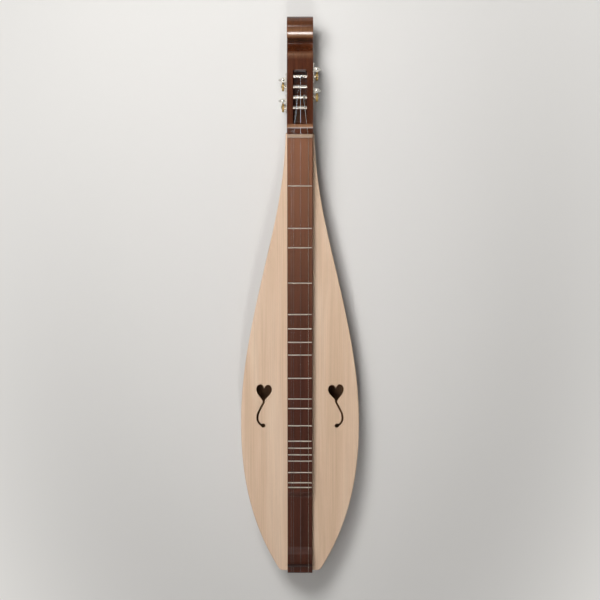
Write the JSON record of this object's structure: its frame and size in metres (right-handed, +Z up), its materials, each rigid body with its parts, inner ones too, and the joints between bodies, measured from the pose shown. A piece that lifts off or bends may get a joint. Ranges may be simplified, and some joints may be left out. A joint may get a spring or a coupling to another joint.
{
  "type": "mountain dulcimer",
  "caption": "Teardrop mountain dulcimer with a raised fretted board, heart sound holes, a scroll head and worm-geared tuners that turn the string posts.",
  "frame": {"origin": "under the middle of the overall length and width, on the surface that the back rests on", "axes": "+Y along the strings towards the scroll, +Z up out of the fretboard, +X to the bass side"},
  "size_m": [0.1896, 0.8906, 0.0742],
  "materials": {
    "soundboard_wood": "satin, pale straight grain",
    "walnut_body": "satin oiled walnut",
    "walnut_fretboard": "satin oiled walnut",
    "walnut_head": "satin oiled dark walnut",
    "brace_wood": "bare spruce",
    "bridge_wood": "close-grained dark wood",
    "nut_bone": "polished, bone-like",
    "nickel_silver": "polished nickel silver",
    "nickel_plate": "polished nickel plate",
    "post_steel": "turned steel",
    "string_steel": "drawn steel wire",
    "gear_brass": "cut brass"
  },
  "bodies": {
    "instrument": {"back": "walnut_body", "soundboard_bass": "soundboard_wood", "soundboard_treble": "soundboard_wood", "side_bass": "walnut_body", "side_treble": "walnut_body", "head": "walnut_head", "tail_block": "walnut_body", "top_brace_1": "brace_wood", "top_brace_2": "brace_wood", "back_brace_1": "brace_wood", "back_brace_2": "brace_wood", "back_brace_3": "brace_wood", "fretboard": "walnut_fretboard", "nut": "nut_bone", "bridge": "bridge_wood", "fret_01": "nickel_silver", "fret_02": "nickel_silver", "fret_03": "nickel_silver", "fret_04": "nickel_silver", "fret_05": "nickel_silver", "fret_06": "nickel_silver", "fret_07": "nickel_silver", "fret_08": "nickel_silver", "fret_09": "nickel_silver", "fret_10": "nickel_silver", "fret_11": "nickel_silver", "fret_12": "nickel_silver", "fret_13": "nickel_silver", "fret_14": "nickel_silver", "fret_15": "nickel_silver", "fret_16": "nickel_silver", "fret_17": "nickel_silver", "fret_18": "nickel_silver", "fret_19": "nickel_silver", "string_1": "string_steel", "string_2": "string_steel", "string_3": "string_steel", "string_4": "string_steel", "hitch_pin_1": "string_steel", "hitch_pin_2": "string_steel", "hitch_pin_3": "string_steel", "hitch_pin_4": "string_steel", "tuner_plate_1": "nickel_silver", "tuner_plate_2": "nickel_silver", "tuner_plate_3": "nickel_silver", "tuner_plate_4": "nickel_silver"},
    "button_1": {"tuner_button_1": "nickel_plate"},
    "post_1": {"tuner_post_1": "post_steel", "tuner_gear_1": "gear_brass"},
    "button_2": {"tuner_button_2": "nickel_plate"},
    "post_2": {"tuner_post_2": "post_steel", "tuner_gear_2": "gear_brass"},
    "button_3": {"tuner_button_3": "nickel_plate"},
    "post_3": {"tuner_post_3": "post_steel", "tuner_gear_3": "gear_brass"},
    "button_4": {"tuner_button_4": "nickel_plate"},
    "post_4": {"tuner_post_4": "post_steel", "tuner_gear_4": "gear_brass"}
  },
  "joints": [
    {"name": "button_turn_1", "type": "hinge", "parent": "instrument", "child": "button_1", "pos_m": [-0.0265, 0.3143, 0.051], "axis": [0, 0, 1], "continuous": true},
    {"name": "post_turn_1", "type": "hinge", "parent": "instrument", "child": "post_1", "pos_m": [0, 0.3043, 0.051], "axis": [1, 0, 0], "continuous": true},
    {"name": "button_turn_2", "type": "hinge", "parent": "instrument", "child": "button_2", "pos_m": [0.0265, 0.3306, 0.051], "axis": [0, 0, 1], "continuous": true},
    {"name": "post_turn_2", "type": "hinge", "parent": "instrument", "child": "post_2", "pos_m": [0, 0.3206, 0.051], "axis": [1, 0, 0], "continuous": true},
    {"name": "button_turn_3", "type": "hinge", "parent": "instrument", "child": "button_3", "pos_m": [-0.0265, 0.3469, 0.051], "axis": [0, 0, 1], "continuous": true},
    {"name": "post_turn_3", "type": "hinge", "parent": "instrument", "child": "post_3", "pos_m": [0, 0.3369, 0.051], "axis": [1, 0, 0], "continuous": true},
    {"name": "button_turn_4", "type": "hinge", "parent": "instrument", "child": "button_4", "pos_m": [0.0265, 0.3632, 0.051], "axis": [0, 0, 1], "continuous": true},
    {"name": "post_turn_4", "type": "hinge", "parent": "instrument", "child": "post_4", "pos_m": [0, 0.3532, 0.051], "axis": [1, 0, 0], "continuous": true}
  ],
  "couplings": [
    {"joint": "post_turn_1", "follows": "button_turn_1", "ratio": -0.066667},
    {"joint": "post_turn_2", "follows": "button_turn_2", "ratio": -0.066667},
    {"joint": "post_turn_3", "follows": "button_turn_3", "ratio": -0.066667},
    {"joint": "post_turn_4", "follows": "button_turn_4", "ratio": -0.066667}
  ]
}
